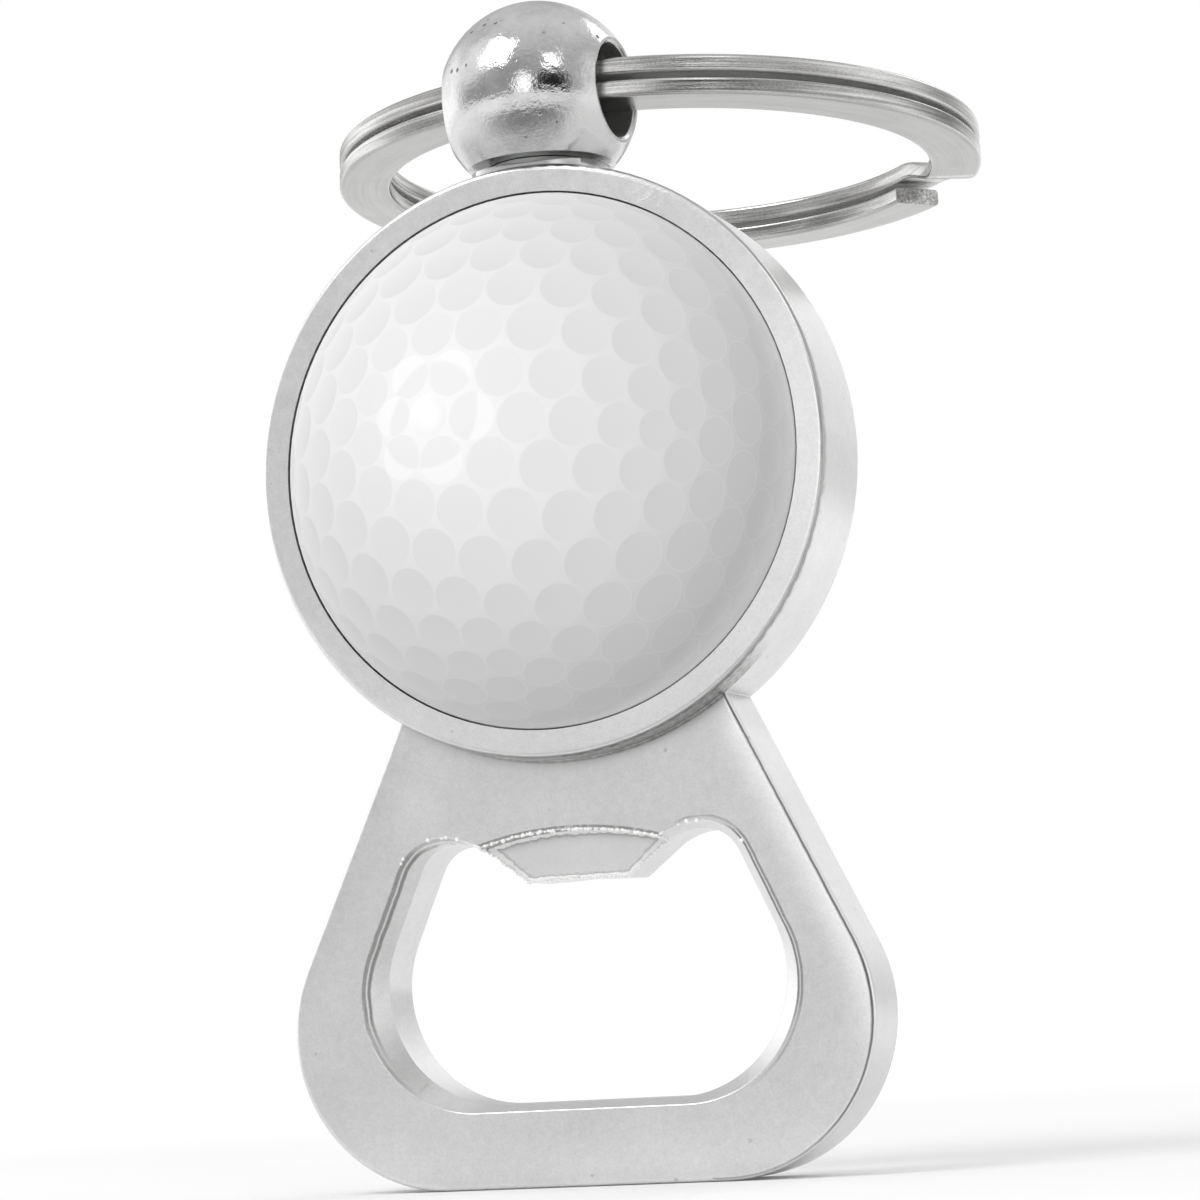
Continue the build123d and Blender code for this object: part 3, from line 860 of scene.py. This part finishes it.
def rivet_steel():
    material, g, shader = new_material("rivet_finish")
    at = object_mm(g)
    x, y, z = g.split(at)
    middle = middle_mm("swivel_rivet")
    away = g.vector("LENGTH", g.vector("SUBTRACT", g.join(x, y, 0.0), (middle.x, middle.y, 0.0)))
    turned = g.noise(g.join(g.times(away, 20.0), g.times(z, 20.0), 0.0), 1.0, 2.0)
    colour = g.mix(g.noise(at, 12.0, 2.0), STEEL_DARK, STEEL_LIGHT)
    shader.inputs["Metallic"].default_value = 1.0
    put_surface(g, shader, colour, g.times_plus(turned, 0.15, 0.25), g.bump(turned, 0.004 * MM))
    return material


def foam_tape():
    material, g, shader = new_material("adhesive_finish")
    at = object_mm(g)
    cells = g.node("TexVoronoi", {"Vector": at, "Scale": 9.0}, feature="DISTANCE_TO_EDGE")
    cloud = g.noise(at, 1.5, 3.0)
    normal = g.bump(cells.outputs["Distance"], 0.02 * MM)
    put_surface(g, shader, g.mix(cloud, FOAM_DARK, FOAM_LIGHT), g.times_plus(cloud, 0.2, 0.6), normal)
    return material


def bead_finish():
    material, g, shader = new_material("nodule_finish")
    # painted glint: the nodules are near-white and almost non-metallic, standing in for their glints
    grain = g.noise(object_mm(g), 12.0, 2.0)
    shader.inputs["Metallic"].default_value = 0.05
    put_surface(g, shader, g.mix(grain, BEAD_DARK, BEAD_LIGHT), g.times_plus(grain, 0.10, 0.22))
    return material


finishes = {
    "opener_body": plated_casting,
    "swivel_ball": plated_ball,
    "split_ring": ring_wire,
    "printed_disc": picture,
    "swivel_washer": nylon,
    "swivel_rivet": rivet_steel,
    "adhesive_pad": foam_tape,
}
for name, finish in finishes.items():
    made_finish = finish()
    for slot in nodes[name].material_slots:
        slot.material = made_finish


# ---- plating nodules along the lip and the mouth's upper edge ----------------------------------
SHARP = 0.35                                            # radians
LIP_BEADS = (0.100, (0.040, 0.095), 0.80)               # pitch, radii and chance of each
LOBE_BEADS = (0.26, (0.060, 0.120), 0.50)
BEADS_TOP = 17.2
LIP_EDGES = (12.5, 0.0, 4.75, 0.5)                      # lowest z, least and most |x|, most y
LOBE_EDGES = (14.6, 4.9, 8.2, -1.0)
SINK = 0.35                                             # how far a bead leaves its edge, in radii
STRETCHES = ((0.8, 1.3), (0.7, 1.0), (0.8, 1.2))


def sharp_edges(node):
    """Sharp edges of a CAD node, as pairs of points in millimetres."""
    mesh = bmesh.new()
    mesh.from_mesh(nodes[node].data)
    bmesh.ops.remove_doubles(mesh, verts=mesh.verts, dist=1e-7)
    pairs = []
    for edge in mesh.edges:
        if len(edge.link_faces) == 2 and edge.calc_face_angle(0.0) > SHARP:
            pairs.append([v.co * PER_MM for v in edge.verts])
    mesh.free()
    return pairs


def beads_at(p):
    """The kind of beads that an edge at this place carries, or None."""
    for (lowest, nearest, widest, back), kind in ((LIP_EDGES, LIP_BEADS), (LOBE_EDGES, LOBE_BEADS)):
        if lowest < p.z < BEADS_TOP and nearest <= abs(p.x) < widest and p.y < back:
            return kind
    return None


def add_nodules():
    """Small beads of plating, scattered along the edges and sunk partly into them."""
    rng = random.Random(7)
    mesh = bmesh.new()
    for a, b in sharp_edges("opener_body"):
        kind = beads_at((a + b) / 2)
        if kind is None:
            continue
        pitch, radii, chance = kind
        steps = max(1, round((b - a).length / pitch))
        for i in range(steps):
            if rng.random() > chance:
                continue
            at = a.lerp(b, (i + rng.random()) / steps)
            size = rng.uniform(*radii)
            at += Vector((rng.uniform(-1, 1), rng.uniform(-1, 0.4), rng.uniform(-1, 1))) * SINK * size
            stretch = Matrix.Diagonal([rng.uniform(*limits) for limits in STRETCHES] + [1.0])
            turn = Matrix.Rotation(rng.uniform(0, math.pi), 4, "Y")
            place = Matrix.Translation(at * MM) @ turn @ stretch
            bmesh.ops.create_icosphere(mesh, subdivisions=2, radius=size * MM, matrix=place)
    made = bpy.data.meshes.new("plating_nodules")
    mesh.to_mesh(made)
    mesh.free()
    for face in made.polygons:
        face.use_smooth = True
    piece = add_object("plating_nodules", made)
    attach(piece, "opener")
    made.materials.append(bead_finish())


add_nodules()


# ---- floor ------------------------------------------------------------------------------------
FLOOR_SIZE = 30.0                                       # metres
FLOOR_DROP = 0.02                                       # millimetres under the object
FLOOR_DARK, FLOOR_LIGHT = grey(0.80), grey(0.84)
FLOOR_GLOW_NEAR, FLOOR_GLOW_FAR = 0.05, 0.40
GLOW_FROM, GLOW_TO = 60.0, 450.0                        # millimetres from the object


def add_floor():
    """A plain white floor that brightens with distance, so that it runs into the backdrop."""
    mesh = bpy.data.meshes.new("floor")
    grid = bmesh.new()
    bmesh.ops.create_grid(grid, x_segments=8, y_segments=8, size=FLOOR_SIZE / 2)
    grid.to_mesh(mesh)
    grid.free()
    floor = add_object("floor", mesh)
    floor.location.z = -FLOOR_DROP * MM
    material, g, shader = new_material("floor_finish")
    cloud = g.noise(object_mm(g), 0.02, 2.0)
    put_surface(g, shader, g.mix(cloud, FLOOR_DARK, FLOOR_LIGHT), 0.9)
    shader.inputs["Specular IOR Level"].default_value = 0.0
    shader.inputs["Emission Color"].default_value = WHITE
    far = g.vector("LENGTH", object_mm(g))
    glow = g.ramp(far, GLOW_FROM, GLOW_TO, FLOOR_GLOW_NEAR, FLOOR_GLOW_FAR)
    g.put(shader.inputs["Emission Strength"], glow)
    mesh.materials.append(material)


add_floor()


# ---- studio light -----------------------------------------------------------------------------
# light and dark cards round the object: azimuth, elevation, inner angle, outer angle, added light
CARDS = [
    (-25, 4, 20, 60, -0.16),
    (180, 5, 20, 60, -0.14),
    (173, 18, 9, 26, 0.47),
    (36, 4, 11, 25, -0.70),
    (4, 9, 4, 15, 1.50),
    (-108, 8, 10, 36, 0.85),
    (0, 90, 20, 60, 0.20),
    (98, 10, 8, 34, 0.52),
    (-68, 36, 10, 26, 0.48),
    (150, 2, 8, 24, -0.08),
]
WORLD_BASE, WORLD_LEAST = 0.71, 0.03
# name, azimuth, elevation, distance and size in metres, radiance
SOFTBOXES = [
    ("key_softbox", -38, 48, 0.75, 0.34, 4.7),
    ("right_softbox", 38, 35, 0.70, 0.20, 2.0),
    ("back_softbox", 150, 40, 0.75, 0.30, 1.6),
]
OBJECT_MIDDLE = Vector((0.0, 0.0, 0.026))
FLAG_SIZE = 300.0                                       # millimetres
FLAG_AT = (5.0, -92.0, 1.0)
FLAG_SHAPE, FLAG_DENSE, FLAG_CLEAR, FLAG_ALPHA = (0.75, 1.15, 1.0), 15.0, 105.0, 0.80


def add_world():
    """The cards in reflections and on the object, and plain white behind it."""
    world = bpy.data.worlds.new("studio")
    bpy.context.scene.world = world
    world.use_nodes = True
    g = Graph(world.node_tree)
    ray = g.node("TexCoord").outputs["Generated"]
    level = WORLD_BASE
    for azimuth, elevation, inner, outer, amount in CARDS:
        facing = g.dot(ray, tuple(direction(azimuth, elevation)))
        edges = math.cos(math.radians(outer)), math.cos(math.radians(inner))
        level = g.plus(level, g.ramp(facing, *edges, 0.0, amount))
    light = world.node_tree.nodes["Background"]
    light.inputs["Color"].default_value = WHITE
    g.put(light.inputs["Strength"], g.most(level, WORLD_LEAST))
    backdrop = g.node("Background", {"Strength": 1.0, "Color": WHITE})
    seen = g.node("LightPath").outputs["Is Camera Ray"]
    choice = g.node("MixShader", {0: seen, 1: light.outputs[0], 2: backdrop.outputs[0]})
    g.put(world.node_tree.nodes["World Output"].inputs["Surface"], choice.outputs[0])


def add_softbox(name, azimuth, elevation, distance, size, radiance):
    """A square area light of the given radiance, aimed at the middle of the object."""
    lamp = bpy.data.lights.new(name, "AREA")
    lamp.shape = "SQUARE"
    lamp.size = size
    lamp.energy = radiance * math.pi * size * size
    made = add_object(name, lamp)
    made.location = OBJECT_MIDDLE + direction(azimuth, elevation) * distance
    made.rotation_euler = (OBJECT_MIDDLE - made.location).to_track_quat("-Z", "Y").to_euler()
    made.visible_camera = False


def add_flag():
    """A dark flag low in front that only reflections see: the polished ball shows one there."""
    mesh = bpy.data.meshes.new("dark_flag")
    half = FLAG_SIZE / 2 * MM
    corners = [(-half, -half, 0), (half, -half, 0), (half, half, 0), (-half, half, 0)]
    mesh.from_pydata(corners, [], [(0, 1, 2, 3)])
    flag = add_object("dark_flag", mesh)
    flag.location = Vector(FLAG_AT) * MM
    flag.visible_camera = False
    flag.visible_diffuse = False
    flag.visible_shadow = False
    flag.visible_transmission = False
    material, g, shader = new_material("flag_finish")
    feather = g.vector("LENGTH", g.vector("MULTIPLY", object_mm(g), FLAG_SHAPE))
    g.put(shader.inputs["Alpha"], g.ramp(feather, FLAG_DENSE, FLAG_CLEAR, FLAG_ALPHA, 0.0))
    put_surface(g, shader, grey(0.08), 1.0)
    shader.inputs["Specular IOR Level"].default_value = 0.0
    mesh.materials.append(material)


add_world()
for softbox in SOFTBOXES:
    add_softbox(*softbox)
add_flag()

view = bpy.context.scene.view_settings
view.view_transform = "Standard"
view.look = "None"
view.exposure = 0.0
view.gamma = 1.0
